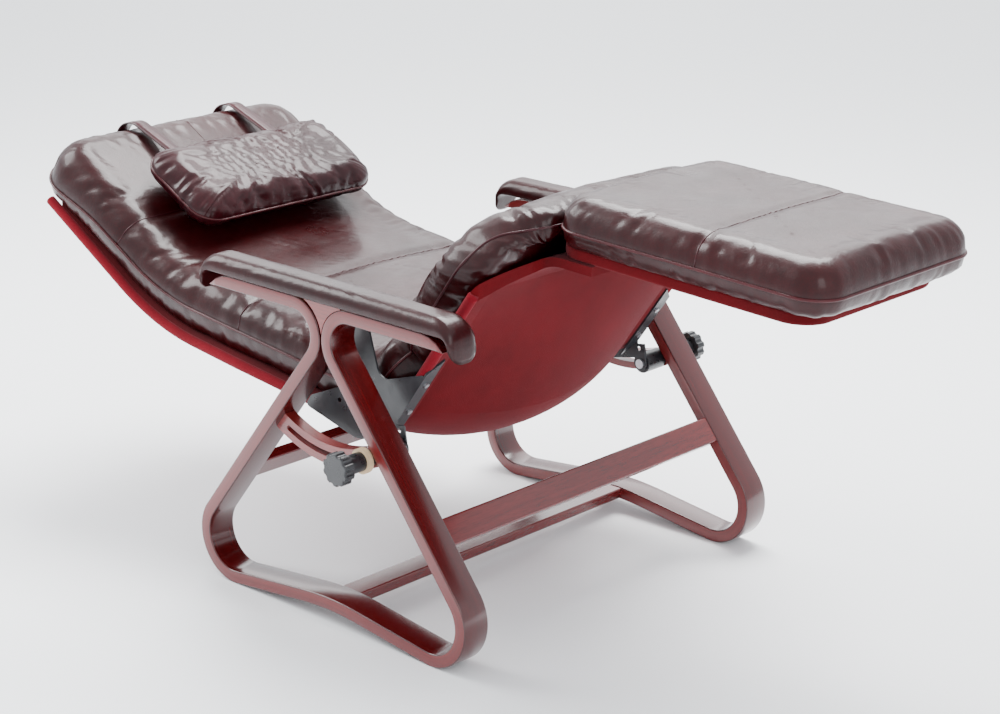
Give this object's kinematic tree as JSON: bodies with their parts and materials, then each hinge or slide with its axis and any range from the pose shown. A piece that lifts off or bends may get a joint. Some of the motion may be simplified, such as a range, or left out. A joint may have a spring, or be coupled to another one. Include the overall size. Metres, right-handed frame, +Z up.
{
  "type": "zero gravity recliner",
  "caption": "Reclining lounge chair with bentwood side frames, a tilting upholstered shell, raised legrest, padded arms, clamp knobs and a strapped head pillow.",
  "frame": {"origin": "centre of the bounding box in X and Y, on the floor", "axes": "+X towards the sitter's feet, +Y towards the sitter's left, +Z up"},
  "size_m": [1.6373, 0.838, 0.7042],
  "materials": {
    "leather": "oxblood leather, semi-gloss",
    "strap_leather": "oxblood leather band, stitched",
    "red_felt": "crimson felted cover over moulded plywood",
    "red_board": "crimson felted cover over board",
    "stained_wood": "red mahogany stain, gloss lacquer",
    "guide_wood": "red mahogany stain, machined slot",
    "plywood": "bare plywood",
    "dowel_wood": "bare beech",
    "black_steel": "satin black powder coat",
    "bolt_steel": "zinc plated",
    "screw_steel": "zinc plated",
    "black_plastic": "satin black, fluted",
    "bush_plastic": "black nylon",
    "tan_fibre": "tan friction disc",
    "brass": "turned"
  },
  "bodies": {
    "base_frame": {"right_side_frame": "stained_wood", "right_neck_wedge": "stained_wood", "right_guide_arc": "guide_wood", "right_arm_pad": "leather", "right_arm_pad_board": "plywood", "left_side_frame": "stained_wood", "left_neck_wedge": "stained_wood", "left_guide_arc": "guide_wood", "left_arm_pad": "leather", "left_arm_pad_board": "plywood", "arm_pad_screws": "screw_steel", "guide_dowels": "dowel_wood", "stretcher_dowels": "dowel_wood", "rear_stretcher": "stained_wood", "front_stretcher": "stained_wood", "bottom_stretcher": "stained_wood", "pivot_bolts": "bolt_steel", "pivot_inserts": "brass"},
    "seat": {"seat_shell": "red_felt", "legrest_board": "red_board", "back_cushion": "leather", "thigh_cushion": "leather", "legrest_cushion": "leather", "right_seat_bracket": "black_steel", "left_seat_bracket": "black_steel", "bracket_screws": "screw_steel", "legrest_screws": "screw_steel", "pivot_bushes": "bush_plastic", "clamp_bolts": "bolt_steel", "clamp_sleeves": "bush_plastic", "clamp_spacers": "bush_plastic", "friction_washers": "tan_fibre", "pillow_straps": "strap_leather"},
    "right_knob": {"right_knob": "black_plastic", "right_knob_insert": "brass"},
    "left_knob": {"left_knob": "black_plastic", "left_knob_insert": "brass"},
    "pillow": {"head_pillow": "leather"}
  },
  "joints": [
    {"name": "seat_tilt", "type": "hinge", "parent": "base_frame", "child": "seat", "pos_m": [0.0329, 0, 0.5], "axis": [0, 1, 0], "range_deg": [0, 45]},
    {"name": "right_knob_turn", "type": "hinge", "parent": "seat", "child": "right_knob", "pos_m": [0.12291, -0.39, 0.2927], "axis": [0, -1, 0], "range_deg": [0, 360]},
    {"name": "left_knob_turn", "type": "hinge", "parent": "seat", "child": "left_knob", "pos_m": [0.12291, 0.39, 0.2927], "axis": [0, 1, 0], "range_deg": [0, 360]},
    {"name": "pillow_slide", "type": "slide", "parent": "seat", "child": "pillow", "axis": [0.887, 0, -0.4618], "range_m": [-0.02, 0.04]}
  ]
}
